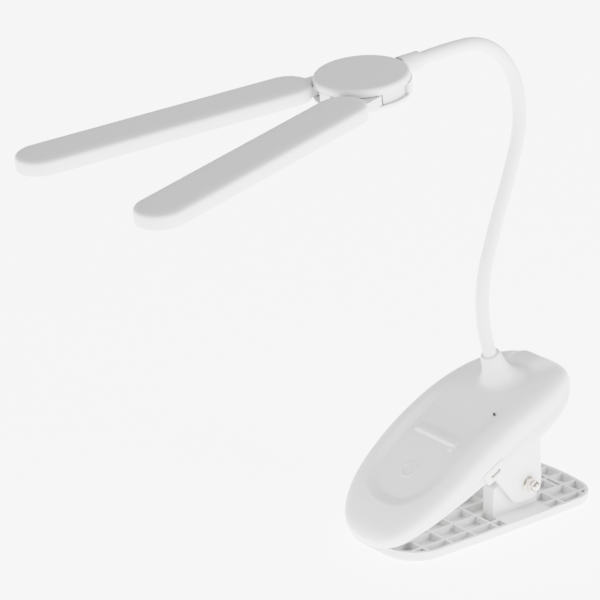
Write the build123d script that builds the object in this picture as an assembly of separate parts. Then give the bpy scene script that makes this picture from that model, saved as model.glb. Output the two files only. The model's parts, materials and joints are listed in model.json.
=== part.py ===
from build123d import *
from math import atan2, cos, degrees, radians, sin, sqrt
import os

# Clip-on reading lamp: a spring clip with a rechargeable body, a gooseneck and a
# hub that carries two light bars. Millimetres, +Z up, the nose of the clip towards
# -X, origin at the middle of the underside of the lower jaw.

# ---- lower jaw -------------------------------------------------------------
jaw_length = 139.0
jaw_width = 63.0
jaw_height = 6.0
jaw_floor = 1.6
jaw_rim = 1.8
jaw_front_corner = 21.0
jaw_rear_corner = 17.0
jaw_end_bulge = 4.0
jaw_side_bulge = 1.2
jaw_bottom_rounding = 3.2
rib_thickness = 1.2
rib_pitch_x = 16.0
rib_pitch_y = 11.5
rib_offset_x = -6.0
spring_stop_positions = (54.0, 57.6)
spring_stop_half_width = 11.5

# ---- pivot between the jaws --------------------------------------------------
pivot_x = 22.6
pivot_z = 20.3
bolt_radius = 2.0
running_clearance = 0.05
cheek_outer_y = 18.7
cheek_thickness = 2.5
cheek_top_radius = 8.5
cheek_base_front = 0.0
cheek_base_rear = 31.5
cheek_flange_depth = 8.0
cheek_flange_thickness = 2.5
cheek_flange_top = 22.0
ear_gap = 0.6
ear_thickness = 2.5
ear_radius = 9.8
washer_thickness = 0.6
washer_radius = 4.4
nut_across_flats = 7.0
nut_height = 3.6
nut_dome_radius = 3.1
bolt_head_radius = 3.8
bolt_head_height = 2.6
bush_radius = 3.4
bush_end_gap = 0.1
spring_wire = 0.8
spring_coil_radius = 5.2
spring_pitch = 1.95
spring_turns = 6

# ---- clip body (upper jaw) ---------------------------------------------------
body_length = 148.0
body_half_width = 35.5
body_tilt = 26.65
nose_x = -74.0
nose_z = 6.7
body_plan_power = 2.8
body_section_power = 4.2
section_steps = 10
section_aspect = 0.4
body_rim_arch = 10.0
shell_wall = 2.0
skirt_inset = 1.6
skirt_wall = 1.8
skirt_section_power = 4.0
pad_front_x = -64.0
pad_rear_x = -50.0
pad_half_width = 15.0
pad_ground_gap = 0.3
pad_room = 14.0

# Height of the casing over its nose-to-tail chord, and depth of the skirt below
# the rim, as (distance from the nose, size).
crown_line = [
    (1.2, 4.6), (4.0, 7.0), (10.0, 9.8), (24.0, 14.6), (45.0, 19.0), (66.0, 22.2),
    (90.0, 22.8), (108.0, 20.8), (124.0, 17.4), (136.0, 13.2), (143.0, 9.0), (146.8, 5.2),
]
skirt_line = [
    (4.0, 2.8), (14.0, 4.6), (30.0, 7.6), (50.0, 11.6), (75.0, 15.4), (100.0, 17.6),
    (120.0, 16.6), (134.0, 12.6), (141.0, 8.2), (144.6, 4.6),
]

# ---- parts inside the body ---------------------------------------------------
battery_length = 56.0
battery_width = 35.0
battery_height = 8.0
battery_start = 39.0
battery_base = 2.0
board_thickness = 1.2
board_length = 62.0
board_width = 34.0
board_start = 36.0
board_base = 11.2
touch_position = 42.0
touch_radius = 6.0
touch_disc_thickness = 0.6
touch_drop = 1.7
status_position = 91.0
status_side = -20.5
status_radius = 0.8
usb_position = 69.5
usb_level = 3.5
usb_width = 7.5
usb_height = 2.6
usb_depth = 5.2
usb_tongue_height = 0.7
usb_block_width = 14.0
usb_block_height = 7.0
usb_block_face_y = -35.0
usb_block_depth = 8.5
usb_board_length = 16.0
usb_board_depth = 9.0
screw_positions = [(27.0, 11.0), (124.0, 14.0)]
screw_radius = 1.1
screw_head_radius = 2.1
screw_head_height = 1.6
screw_length = 9.0
screw_post_radius = 3.3

# ---- gooseneck ---------------------------------------------------------------
neck_radius = 3.6
core_radius = 1.9
ball_clearance = 0.15
core_end_gap = 5.0
neck_start_x = 12.7
neck_start_z = 90.6
neck_start_lean = -22.2
link_length = 28.9
link_turns = [18.4, 19.6, 4.0, -3.6, -26.1, -34.5, -45.5, -6.3]
neck_in_boss = 12.0
neck_in_hub = 19.0
boss_top_radius = 5.6
boss_flare = [(boss_top_radius, 0.0), (6.1, 5.0), (7.6, 10.0), (10.6, 15.0), (16.0, 20.0)]
boss_depth = 24.0
collar_radius = 5.2
collar_height = 1.6
anchor_radius = 6.4
anchor_height = 3.0

# ---- head: hub and light bars ---------------------------------------------------
hub_radius = 24.5
hub_top = 2.0
cover_skirt = 2.4
cover_wall = 1.8
slot_floor = -8.2
hub_bottom = -11.0
hub_bottom_fillet = 2.6
neck_level = -3.6
neck_end_from_hub = 39.2
band_outer_radius = 25.2
band_inner_radius = 23.6
band_start_angle = 117.0
front_wall_angle = 9.0
ferrule_radius_hub = 5.5
ferrule_radius_neck = 4.9
ferrule_end = 37.4
clamp_half_width = 4.6
clamp_length = 3.0
clamp_gap = 0.1
hub_post_radius = 4.0
arm_outer_radius = 23.3
arm_wall = 1.8
arm_wall_end_angle = 114.0
knuckle_radius = 9.0
arm_gap = 0.3
arm_split_gap = 0.3
hub_washer_thickness = 0.2
hub_screw_front = -16.0
hub_screw_rear = 13.0
hub_screw_post_radius = 2.6
hub_screw_radius = 1.0
hub_screw_head_radius = 1.9
hub_screw_head_height = 1.4
bar_length = 160.0
bar_width = 26.6
bar_height = 7.8
bar_offset = 14.7
bar_root_distance = 22.0
bar_splay = 11.4
bar_top_fillet = 2.4
bar_wall = 1.5
bar_root_block = 10.0
tongue_width = 14.0
tongue_top = -2.2
tongue_bottom = -7.5
tongue_in_bar = 7.0
diffuser_thickness = 1.4
diffuser_gap = 0.15
led_board_thickness = 1.0
led_board_width = 15.0
led_board_level = -4.6
led_pitch = 11.0
led_size = (2.8, 3.5, 0.7)
led_row_offset = 4.0

os.makedirs("parts", exist_ok=True)


def save(name, shape):
    """Write one named node."""
    export_step(shape, "parts/" + name + ".step")


def interpolate(line, position):
    """Size at a position on a list of (position, size) pairs."""
    for (x0, y0), (x1, y1) in zip(line, line[1:]):
        if position <= x1:
            share = max(0.0, (position - x0) / (x1 - x0))
            return y0 + share * (y1 - y0)
    return line[-1][1]


def cylinder_y(radius, y_low, y_high, x=0.0, z=0.0):
    """Cylinder along Y between two levels."""
    length = y_high - y_low
    place = Location((x, (y_low + y_high) / 2, z), (90, 0, 0))
    return place * Cylinder(radius, length)


def cylinder_z(radius, z_low, z_high, x=0.0, y=0.0):
    """Cylinder along Z between two levels."""
    return Location((x, y, (z_low + z_high) / 2)) * Cylinder(radius, z_high - z_low)


def block(x_low, x_high, y_low, y_high, z_low, z_high):
    """Box between two corners."""
    centre = ((x_low + x_high) / 2, (y_low + y_high) / 2, (z_low + z_high) / 2)
    return Location(centre) * Box(x_high - x_low, y_high - y_low, z_high - z_low)


def single(shape):
    """The shape as one solid."""
    solids = shape.solids()
    return solids[0] if len(solids) == 1 else shape


# ---- lower jaw -------------------------------------------------------------
def jaw_outline(inset=0.0):
    """Plan outline of the tray: four bowed edges with rounded corners."""
    end_x = jaw_length / 2 - inset
    side_y = jaw_width / 2 - inset
    corner_x = end_x - jaw_end_bulge
    corner_y = side_y - jaw_side_bulge
    front = ThreePointArc((-corner_x, -corner_y), (-end_x, 0), (-corner_x, corner_y))
    left = ThreePointArc((-corner_x, corner_y), (0, side_y), (corner_x, corner_y))
    rear = ThreePointArc((corner_x, corner_y), (end_x, 0), (corner_x, -corner_y))
    right = ThreePointArc((corner_x, -corner_y), (0, -side_y), (-corner_x, -corner_y))
    face = make_face([front, left, rear, right])
    front_corners = [v for v in face.vertices() if v.X < 0]
    face = fillet(front_corners, jaw_front_corner - inset)
    rear_corners = [v for v in face.vertices() if v.X > corner_x - 1.0]
    return fillet(rear_corners, jaw_rear_corner - inset)


def cheek_profile():
    """Side view of a pivot cheek, from the tray up round the pivot."""
    top = Location((pivot_x, pivot_z)) * Circle(cheek_top_radius)
    front_top = (cheek_base_front, cheek_flange_top)
    base = Polyline(
        (cheek_base_front, jaw_floor),
        front_top,
        (pivot_x - cheek_top_radius / 2, pivot_z + cheek_top_radius * sqrt(3) / 2),
        (pivot_x + cheek_top_radius, pivot_z),
        (cheek_base_rear, jaw_floor),
        close=True,
    )
    return make_face(base) + top


def build_lower_jaw():
    tray = extrude(jaw_outline(), jaw_height)
    tray = fillet(tray.faces().sort_by(Axis.Z)[0].edges(), jaw_bottom_rounding)
    hollow = Location((0, 0, jaw_floor)) * extrude(jaw_outline(jaw_rim), jaw_height)
    ribs = []
    rows = int(jaw_width / 2 / rib_pitch_y)
    for row in range(-rows, rows + 1):
        y = row * rib_pitch_y
        half = rib_thickness / 2
        ribs.append(block(-jaw_length, jaw_length, y - half, y + half, 0, jaw_height))
    columns = int(jaw_length / 2 / rib_pitch_x)
    for column in range(-columns, columns + 1):
        x = rib_offset_x + column * rib_pitch_x
        half = rib_thickness / 2
        ribs.append(block(x - half, x + half, -jaw_width, jaw_width, 0, jaw_height))
    for x in spring_stop_positions:
        stop_half = spring_stop_half_width
        ribs.append(block(x - half, x + half, -stop_half, stop_half, 0, jaw_height))
    plate_inner = cheek_outer_y - cheek_thickness
    for low, high in ((-jaw_width, -plate_inner), (plate_inner, jaw_width)):
        ribs.append(block(cheek_base_front, cheek_base_rear, low, high, 0, jaw_height))
    for rib in ribs:
        hollow = hollow - rib
    jaw = tray - hollow
    profile = Plane.XZ * cheek_profile()
    for side in (-1, 1):
        outer = side * cheek_outer_y
        inner = side * (cheek_outer_y - cheek_thickness)
        cheek = extrude(profile, cheek_thickness)
        cheek = Location((0, max(outer, inner), 0)) * cheek
        jaw = jaw + cheek
        flange_inner = side * (cheek_outer_y - cheek_flange_depth)
        flange = block(
            cheek_base_front,
            cheek_base_front + cheek_flange_thickness,
            min(outer, flange_inner),
            max(outer, flange_inner),
            jaw_floor,
            cheek_flange_top,
        )
        jaw = jaw + flange
    bore = cylinder_y(bolt_radius + running_clearance, -jaw_width, jaw_width, pivot_x, pivot_z)
    return single(jaw - bore)


# ---- clip body ---------------------------------------------------------------
body_plane = Plane(
    origin=(nose_x, 0, nose_z),
    x_dir=(cos(radians(body_tilt)), 0, sin(radians(body_tilt))),
    z_dir=(-sin(radians(body_tilt)), 0, cos(radians(body_tilt))),
)
body_place = body_plane.location


def body_half(position):
    """Half width of the casing at a distance from the nose."""
    share = abs(2 * position / body_length - 1)
    return body_half_width * (1 - share ** body_plan_power) ** (1 / body_plan_power)


def rim_level(position):
    """Level of the casing's lower edge over the nose-to-tail chord."""
    share = 2 * position / body_length - 1
    return body_rim_arch * (1 - share * share)


def section_shape(power):
    """Rounded back of a cross-section as (reach, lift) pairs of unit size."""
    shape = []
    for step in range(section_steps + 1):
        angle = radians(180.0 * step / section_steps)
        across = cos(angle)
        reach = abs(across) ** (2 / power) * (1 if across > 0 else -1)
        lift = max(0.0, sin(angle)) ** (2 / power)
        shape.append((reach, lift))
    return shape


def section_parameters(power):
    """Curve parameters that every cross-section shares, so that a loft stays simple."""
    lengths = [0.0]
    shape = section_shape(power)
    for (reach, lift), (next_reach, next_lift) in zip(shape, shape[1:]):
        rise = section_aspect * (next_lift - lift)
        lengths.append(lengths[-1] + sqrt((next_reach - reach) ** 2 + rise ** 2))
    return [value / lengths[-1] for value in lengths]


def section(position, half_width, base, height, power, direction):
    """Closed cross-section: a straight base and a rounded back."""
    points = []
    for reach, lift in section_shape(power):
        points.append((position, half_width * reach, base + direction * height * lift))
    points[0] = (position, half_width, base)
    points[-1] = (position, -half_width, base)
    back = Edge.make_spline(
        [Vector(*point) for point in points],
        tangents=[Vector(0, 0, direction), Vector(0, 0, -direction)],
        parameters=section_parameters(power),
    )
    return make_face([back, Line(points[-1], points[0])])


def casing(inset, extra):
    """Solid of the casing, drawn in by an inset and taken lower by an extra."""
    faces = []
    for position, height in crown_line:
        share = position / body_length
        place = position + inset * (1 - 2 * share)
        half = body_half(position) - inset
        base = rim_level(place) - extra
        top = rim_level(place)
        crown = height - top - inset
        if crown + extra < 0.8 or half < 4.0:
            continue
        faces.append(section(place, half, base, crown + extra, body_section_power, 1))
    return loft(faces)


def skirt(inset, extra):
    """Solid of the skirt below the rim, drawn in by an inset."""
    faces = []
    for position, depth in skirt_line:
        share = position / body_length
        place = position + inset * (1 - 2 * share)
        half = body_half(position) - skirt_inset - inset
        drop = depth - inset
        if drop < 0.8 or half < 4.0:
            continue
        base = rim_level(position) + extra
        faces.append(section(place, half, base, drop + extra, skirt_section_power, -1))
    return loft(faces)


def neck_point(point, heading, distance, turn):
    """End point and heading after an arc of a given length and turn."""
    x, z = point
    start = radians(heading)
    end = radians(heading + turn)
    radius = distance / radians(turn)
    return (x + radius * (cos(start) - cos(end)), z + radius * (sin(end) - sin(start))), heading + turn


neck_points = [(neck_start_x, neck_start_z)]
neck_headings = [neck_start_lean]
for turn in link_turns:
    next_point, next_heading = neck_point(neck_points[-1], neck_headings[-1], link_length, turn)
    neck_points.append(next_point)
    neck_headings.append(next_heading)

neck_start_direction = (sin(radians(neck_start_lean)), 0, cos(radians(neck_start_lean)))
boss_plane = Plane(
    origin=(neck_start_x, 0, neck_start_z),
    x_dir=(cos(radians(neck_start_lean)), 0, -sin(radians(neck_start_lean))),
    z_dir=neck_start_direction,
)
boss_place = boss_plane.location

# The hub stands square to the end of the gooseneck.
head_tilt = -(neck_headings[-1] + 90.0)
head_x_axis = (cos(radians(head_tilt)), 0, sin(radians(head_tilt)))
head_z_axis = (-sin(radians(head_tilt)), 0, cos(radians(head_tilt)))
neck_end = neck_points[-1]
head_origin = (
    neck_end[0] - neck_end_from_hub * head_x_axis[0] - neck_level * head_z_axis[0],
    0,
    neck_end[1] - neck_end_from_hub * head_x_axis[2] - neck_level * head_z_axis[2],
)
head_place = Plane(origin=head_origin, x_dir=head_x_axis, z_dir=head_z_axis).location


def build_boss():
    """Flared boss of the gooseneck, in the boss frame, top at the collar."""
    outline = [(radius, -depth) for radius, depth in boss_flare]
    flare = Spline(outline, tangents=[(0.05, -1), (1, -0.6)])
    last_radius, last_depth = boss_flare[-1]
    edges = [
        Line((0, 0), outline[0]),
        flare,
        Line(outline[-1], (last_radius, -boss_depth)),
        Line((last_radius, -boss_depth), (0, -boss_depth)),
        Line((0, -boss_depth), (0, 0)),
    ]
    return revolve(Plane.XZ * make_face(edges), Axis.Z)


def screw_spots():
    """Places of the housing screws as (distance from the nose, side, seat level)."""
    spots = []
    for position, side in screw_positions:
        seat = rim_level(position) - interpolate(skirt_line, position)
        for sign in (-1, 1):
            spots.append((position, sign * side, seat))
    return spots


def build_body():
    outer = casing(0.0, 0.0)
    inner = casing(shell_wall, 1.5)
    skirt_solid = skirt(0.0, 0.0)
    skirt_hollow = skirt(skirt_wall, 1.5)

    boss = boss_place * build_boss()
    outer_world = body_place * outer
    shell = outer_world - body_place * inner
    hidden = body_place * (inner - block(0, 96, -60, 60, -60, 60))
    boss_skin = boss - hidden
    shell = shell + boss_skin.solids().sort_by(SortBy.VOLUME)[-1]
    bore = boss_place * cylinder_z(neck_radius + running_clearance, -boss_depth - 30, 10)
    collar_seat = boss_place * cylinder_z(collar_radius + running_clearance, -collar_height / 2, 10)
    shell = shell - bore - collar_seat

    lower = skirt_solid - skirt_hollow
    posts = None
    upper_posts = None
    heads = []
    for position, side, seat in screw_spots():
        split = rim_level(position) - 0.5
        tower = cylinder_z(screw_post_radius, seat - 1.0, split, position, side) & skirt_solid
        lower = lower + tower
        lower = lower - cylinder_z(screw_radius + running_clearance, -60, 60, position, side)
        head_top = seat + screw_head_height + 0.6
        head_hole = cylinder_z(screw_head_radius + 0.1, -60, head_top, position, side)
        lower = lower - head_hole
        pillar = cylinder_z(screw_post_radius, split, 60, position, side) & outer
        pillar = pillar - cylinder_z(screw_radius, -60, head_top + screw_length, position, side)
        upper_posts = pillar if upper_posts is None else upper_posts + pillar
        head = cylinder_z(screw_head_radius, head_top - screw_head_height, head_top, position, side)
        shank = cylinder_z(screw_radius, head_top, head_top + screw_length, position, side)
        heads.append(head + shank)
    shell = shell + body_place * upper_posts

    low = usb_level - usb_block_height / 2
    high = rim_level(usb_position)
    usb_block = block(
        usb_position - usb_block_width / 2,
        usb_position + usb_block_width / 2,
        usb_block_face_y,
        usb_block_face_y + usb_block_depth,
        low,
        high - 0.8,
    )
    usb_block = fillet(usb_block.edges().filter_by(Axis.Y), 1.2)
    usb_block = usb_block - outer
    socket_room = block(
        usb_position - usb_width / 2,
        usb_position + usb_width / 2,
        usb_block_face_y - 1,
        usb_block_face_y + usb_block_depth + 10,
        usb_level - usb_height / 2,
        usb_level + usb_height / 2,
    )
    socket_room = fillet(socket_room.edges().filter_by(Axis.Y), 0.9)
    board_room = block(
        usb_position - usb_board_length / 2 - 0.2,
        usb_position + usb_board_length / 2 + 0.2,
        usb_block_face_y + 1.6,
        usb_block_face_y + usb_block_depth + 6,
        usb_level - usb_height / 2 - board_thickness - 0.2,
        usb_level + usb_height / 2 + 0.2,
    )
    lower = lower + usb_block - socket_room - board_room

    lower_world = body_place * lower
    ears = build_ears(body_place * skirt_hollow, outer_world)
    for ear in ears:
        lower_world = lower_world + ear
    lower_world = lower_world - cylinder_y(
        bolt_radius + running_clearance, -jaw_width, jaw_width, pivot_x, pivot_z
    )

    light_hole = cylinder_z(status_radius + running_clearance, board_base, 60, status_position, status_side)
    shell = shell - body_place * light_hole
    light_low = board_base + board_thickness + 0.2
    light = cylinder_z(status_radius, light_low, 60, status_position, status_side) & outer

    pad_low = jaw_height + pad_ground_gap
    pad = block(pad_front_x, pad_rear_x, -pad_half_width, pad_half_width, pad_low, pad_low + pad_room)
    pad = pad - body_place * skirt_solid - outer_world
    pad = pad.solids().sort_by(Axis.Z)[0]

    save("upper_shell", single(shell))
    save("lower_shell", single(lower_world))
    save("jaw_pad", pad)
    save("status_light", body_place * light)
    save("housing_screws", body_place * Compound(children=[single(head) for head in heads]))


def build_ears(skirt_room, casing_solid):
    """The two pivot ears, joined to the skirt above."""
    top = Location((pivot_x, pivot_z)) * Circle(ear_radius)
    rear_x = pivot_x + ear_radius
    outline = Polyline(
        (pivot_x - ear_radius * 0.78, pivot_z - ear_radius * 0.62),
        (-2.0, pivot_z + 10.0),
        (-2.0, pivot_z + 26.0),
        (rear_x - 2.5, pivot_z + 42.0),
        (rear_x - 1.5, pivot_z + 24.0),
        (rear_x, pivot_z),
        close=True,
    )
    profile = Plane.XZ * (make_face(outline) + top)
    low = cheek_outer_y + ear_gap
    ears = []
    for side in (-1, 1):
        y_high = low + ear_thickness if side > 0 else -low
        ear = Location((0, y_high, 0)) * extrude(profile, ear_thickness)
        ear = ear - skirt_room - casing_solid
        ears.append(ear.solids().sort_by(Axis.Z)[0])
    return ears


def build_pivot():
    ear_outer = cheek_outer_y + ear_gap + ear_thickness
    washer_outer = ear_outer + washer_thickness
    bore = cylinder_y(bolt_radius + running_clearance, -60, 60, pivot_x, pivot_z)
    shank = cylinder_y(bolt_radius, -washer_outer - nut_height, washer_outer, pivot_x, pivot_z)
    head = cylinder_y(bolt_head_radius, washer_outer, washer_outer + bolt_head_height, pivot_x, pivot_z)
    head = fillet(head.edges().sort_by(Axis.Y)[-1], 1.0)
    save("pivot_bolt", single(shank + head))

    washers = []
    for side in (-1, 1):
        low = min(side * ear_outer, side * washer_outer)
        high = max(side * ear_outer, side * washer_outer)
        washers.append(single(cylinder_y(washer_radius, low, high, pivot_x, pivot_z) - bore))
    save("pivot_washers", Compound(children=washers))

    hexagon = RegularPolygon(nut_across_flats / 2, 6, major_radius=False)
    nut_plane = Plane(origin=(pivot_x, -washer_outer, pivot_z), x_dir=(1, 0, 0), z_dir=(0, -1, 0))
    nut = extrude(nut_plane * hexagon, nut_height)
    dome_y = -washer_outer - nut_height
    dome = Location((pivot_x, dome_y - 0.4, pivot_z)) * Sphere(nut_dome_radius)
    neck = cylinder_y(nut_dome_radius, dome_y - 0.4, dome_y + 0.5, pivot_x, pivot_z)
    nut = nut + (dome - block(-100, 100, dome_y, 100, -100, 100)) + neck
    nut = nut - cylinder_y(bolt_radius, dome_y, 60, pivot_x, pivot_z)
    save("cap_nut", single(nut))

    bush_end = cheek_outer_y - cheek_thickness - bush_end_gap
    save("spring_bush", single(cylinder_y(bush_radius, -bush_end, bush_end, pivot_x, pivot_z) - bore))

    height = spring_pitch * spring_turns
    helix = Helix(spring_pitch, height, spring_coil_radius)
    wire_section = Plane(origin=helix @ 0, z_dir=helix % 0) * Circle(spring_wire)
    coil = sweep(wire_section, path=helix, is_frenet=True)
    start = helix @ 0
    end = helix @ 1
    leg_low = Plane(origin=start, z_dir=-(helix % 0)) * Cylinder(
        spring_wire, 13.0, align=(Align.CENTER, Align.CENTER, Align.MIN)
    )
    leg_high = Plane(origin=end, z_dir=(helix % 1)) * Cylinder(
        spring_wire, 13.0, align=(Align.CENTER, Align.CENTER, Align.MIN)
    )
    spring = coil + leg_low + leg_high
    spring = Location((pivot_x, height / 2, pivot_z), (90, 0, 0)) * spring
    save("torsion_spring", single(spring))


# ---- parts inside the body ---------------------------------------------------
def build_electronics():
    battery = block(
        battery_start,
        battery_start + battery_length,
        -battery_width / 2,
        battery_width / 2,
        battery_base,
        battery_base + battery_height,
    )
    battery = fillet(battery.edges().filter_by(Axis.X), 3.0)
    save("battery_cell", body_place * battery)

    board = block(
        board_start,
        board_start + board_length,
        -board_width / 2 - 1.5,
        board_width / 2,
        board_base,
        board_base + board_thickness,
    )
    save("control_board", body_place * board)

    crown = interpolate(crown_line, touch_position)
    disc_top = crown - shell_wall - touch_drop
    disc = cylinder_z(touch_radius, disc_top - touch_disc_thickness, disc_top, touch_position)
    stem_low = board_base + board_thickness
    stem = cylinder_z(touch_radius / 2, stem_low, disc_top - touch_disc_thickness, touch_position)
    save("touch_contact", body_place * single(disc + stem))

    shell = block(
        usb_position - usb_width / 2,
        usb_position + usb_width / 2,
        usb_block_face_y + 0.3,
        usb_block_face_y + 0.3 + usb_depth,
        usb_level - usb_height / 2,
        usb_level + usb_height / 2,
    )
    shell = fillet(shell.edges().filter_by(Axis.Y), 0.9)
    mouth = block(
        usb_position - usb_width / 2 + 0.35,
        usb_position + usb_width / 2 - 0.35,
        usb_block_face_y - 1,
        usb_block_face_y + usb_depth - 0.4,
        usb_level - usb_height / 2 + 0.35,
        usb_level + usb_height / 2 - 0.35,
    )
    mouth = fillet(mouth.edges().filter_by(Axis.Y), 0.6)
    tongue = block(
        usb_position - usb_width / 2 + 1.4,
        usb_position + usb_width / 2 - 1.4,
        usb_block_face_y + 1.0,
        usb_block_face_y + usb_depth,
        usb_level - usb_tongue_height / 2,
        usb_level + usb_tongue_height / 2,
    )
    save("usb_socket", body_place * single(shell - mouth + tongue))
    small_board = block(
        usb_position - usb_board_length / 2,
        usb_position + usb_board_length / 2,
        usb_block_face_y + 1.8,
        usb_block_face_y + 1.8 + usb_board_depth,
        usb_level - usb_height / 2 - board_thickness,
        usb_level - usb_height / 2,
    )
    save("usb_board", body_place * small_board)


# ---- gooseneck ---------------------------------------------------------------
def arc_tube(point, heading, length, turn, radius):
    """Round bar bent along one arc in the XZ plane."""
    middle = neck_point(point, heading, length / 2, turn / 2)[0]
    end = neck_point(point, heading, length, turn)[0]
    path = ThreePointArc((point[0], 0, point[1]), (middle[0], 0, middle[1]), (end[0], 0, end[1]))
    direction = (sin(radians(heading)), 0, cos(radians(heading)))
    disc = Plane(origin=(point[0], 0, point[1]), z_dir=direction) * Circle(radius)
    return sweep(disc, path=path)


def ball(point, radius):
    return Location((point[0], 0, point[1])) * Sphere(radius)


def build_neck():
    count = len(link_turns)
    for index, turn in enumerate(link_turns):
        start = neck_points[index]
        end = neck_points[index + 1]
        heading = neck_headings[index]
        sleeve = arc_tube(start, heading, link_length, turn, neck_radius)
        if index < count - 1:
            sleeve = sleeve + ball(end, neck_radius)
        else:
            tail = cylinder_z(neck_radius, 0, neck_in_hub)
            heading_end = neck_headings[-1]
            direction = (sin(radians(heading_end)), 0, cos(radians(heading_end)))
            tail_place = Plane(origin=(end[0], 0, end[1]), z_dir=direction).location
            sleeve = sleeve + tail_place * tail
        if index > 0:
            sleeve = sleeve - ball(start, neck_radius + ball_clearance)
        else:
            root = boss_place * cylinder_z(neck_radius, -neck_in_boss, 0)
            sleeve = sleeve + root
        share = core_end_gap / link_length
        core_start, core_heading = neck_point(start, heading, core_end_gap, turn * share)
        core_length = link_length - 2 * core_end_gap
        core = arc_tube(core_start, core_heading, core_length, turn * (1 - 2 * share), core_radius)
        save("neck_sleeve_" + str(index + 1), single(sleeve - core))
        save("neck_core_" + str(index + 1), single(core))

    bore = cylinder_z(neck_radius + running_clearance, -100, 100)
    seat = -collar_height / 2
    collar = cylinder_z(collar_radius, seat, seat + collar_height) - bore
    collar = fillet(collar.edges().filter_by(GeomType.CIRCLE).sort_by(Axis.Z)[-1], 0.3)
    save("neck_collar", boss_place * single(collar))
    anchor = cylinder_z(anchor_radius, -boss_depth - anchor_height, -boss_depth)
    stub = cylinder_z(neck_radius, -boss_depth - anchor_height, -neck_in_boss)
    save("neck_anchor", boss_place * single(anchor + stub))


# ---- hub ---------------------------------------------------------------------
def ring_sector(inner, outer, low, high, first, last):
    """Part of a ring between two angles measured from the front, -X."""
    middle = radians(180 - (first + last) / 2)
    a = radians(180 - first)
    b = radians(180 - last)
    edges = [
        ThreePointArc(
            (outer * cos(a), outer * sin(a)),
            (outer * cos(middle), outer * sin(middle)),
            (outer * cos(b), outer * sin(b)),
        ),
        Line((outer * cos(b), outer * sin(b)), (inner * cos(b), inner * sin(b))),
        ThreePointArc(
            (inner * cos(b), inner * sin(b)),
            (inner * cos(middle), inner * sin(middle)),
            (inner * cos(a), inner * sin(a)),
        ),
        Line((inner * cos(a), inner * sin(a)), (outer * cos(a), outer * sin(a))),
    ]
    return Location((0, 0, low)) * extrude(make_face(edges), high - low)


def build_hub():
    cover_low = -cover_skirt
    cover = cylinder_z(hub_radius, cover_low, hub_top)
    cover = fillet(cover.edges().filter_by(GeomType.CIRCLE).sort_by(Axis.Z)[-1], 1.8)
    cover = cover - cylinder_z(hub_radius - cover_wall, cover_low - 1, hub_top - cover_wall)
    neck_bore = Location((0, 0, neck_level), (0, 90, 0)) * Cylinder(
        neck_radius + running_clearance, 100, align=(Align.CENTER, Align.CENTER, Align.MIN)
    )
    base = cylinder_z(hub_radius, hub_bottom, slot_floor)
    base = base + cylinder_z(band_outer_radius, hub_bottom, slot_floor)
    base = fillet(base.edges().filter_by(GeomType.CIRCLE).sort_by(Axis.Z)[0], hub_bottom_fillet)
    band_top = cover_low - 0.1
    band = ring_sector(
        band_inner_radius, band_outer_radius, slot_floor, band_top, band_start_angle, 360 - band_start_angle
    )
    front = ring_sector(
        band_inner_radius - 1.2, hub_radius, slot_floor, band_top, -front_wall_angle, front_wall_angle
    )
    base = base + band + front
    base = base + cylinder_z(hub_post_radius, slot_floor, band_top)
    for x in (hub_screw_front, hub_screw_rear):
        base = base + cylinder_z(hub_screw_post_radius, slot_floor, band_top, x)
        cover = cover + cylinder_z(hub_screw_post_radius, band_top + 0.1, hub_top - cover_wall, x)
        cover = cover - cylinder_z(hub_screw_radius, cover_low - 1, hub_top - 1.0, x)
    head_low = hub_bottom + 0.4
    screws = []
    for x in (hub_screw_front, hub_screw_rear):
        base = base - cylinder_z(hub_screw_radius + running_clearance, hub_bottom - 1, 5, x)
        head_high = head_low + hub_screw_head_height
        base = base - cylinder_z(hub_screw_head_radius + 0.1, hub_bottom - 1, head_high, x)
        head = cylinder_z(hub_screw_head_radius, head_low, head_high, x)
        shank = cylinder_z(hub_screw_radius, head_high, hub_top - 1.1, x)
        screws.append(single(head + shank))
    ferrule_x = Location((0, 0, neck_level), (0, 90, 0))
    outline = Polyline(
        (0, 0), (ferrule_radius_hub, 0), (ferrule_radius_hub, 26.0), (ferrule_radius_neck, ferrule_end),
        (0, ferrule_end), close=True,
    )
    ferrule = ferrule_x * revolve(Plane.XZ * make_face(outline), Axis.Z)
    hub_room = cylinder_z(band_outer_radius, -50, 50)
    ferrule = (ferrule - hub_room - neck_bore).solids().sort_by(Axis.X)[-1]
    base = base - neck_bore
    cover = cover - neck_bore
    clamp_end = neck_end_from_hub - neck_in_hub
    clamp = block(
        clamp_end - clamp_length,
        clamp_end,
        -clamp_half_width,
        clamp_half_width,
        slot_floor,
        hub_top - cover_wall - clamp_gap,
    )
    wire_bore = Location((0, 0, neck_level), (0, 90, 0)) * Cylinder(core_radius, 100)
    clamp = clamp - wire_bore
    save("hub_cover", head_place * single(cover))
    save("hub_base", head_place * single(base))
    save("hub_screws", head_place * Compound(children=screws))
    save("neck_ferrule", head_place * ferrule)
    save("neck_clamp", head_place * single(clamp))


# ---- arms and light bars -----------------------------------------------------
def stadium(start, length, width):
    """Long plan with fully round ends, running towards -X from a start."""
    radius = width / 2
    straight = length - width
    centre_x = -(start + length / 2)
    plan = Rectangle(straight, width)
    for shift in (-straight / 2, straight / 2):
        plan = plan + Pos(shift, 0) * Circle(radius)
    return Location((centre_x, bar_offset)) * plan


def layer(face, low, high):
    return Location((0, 0, low)) * extrude(face, high - low)


slot_top = -cover_skirt - 0.1
arm_low = slot_floor + arm_gap
arm_high = slot_top - arm_gap
arm_middle = (arm_low + arm_high) / 2


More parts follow.
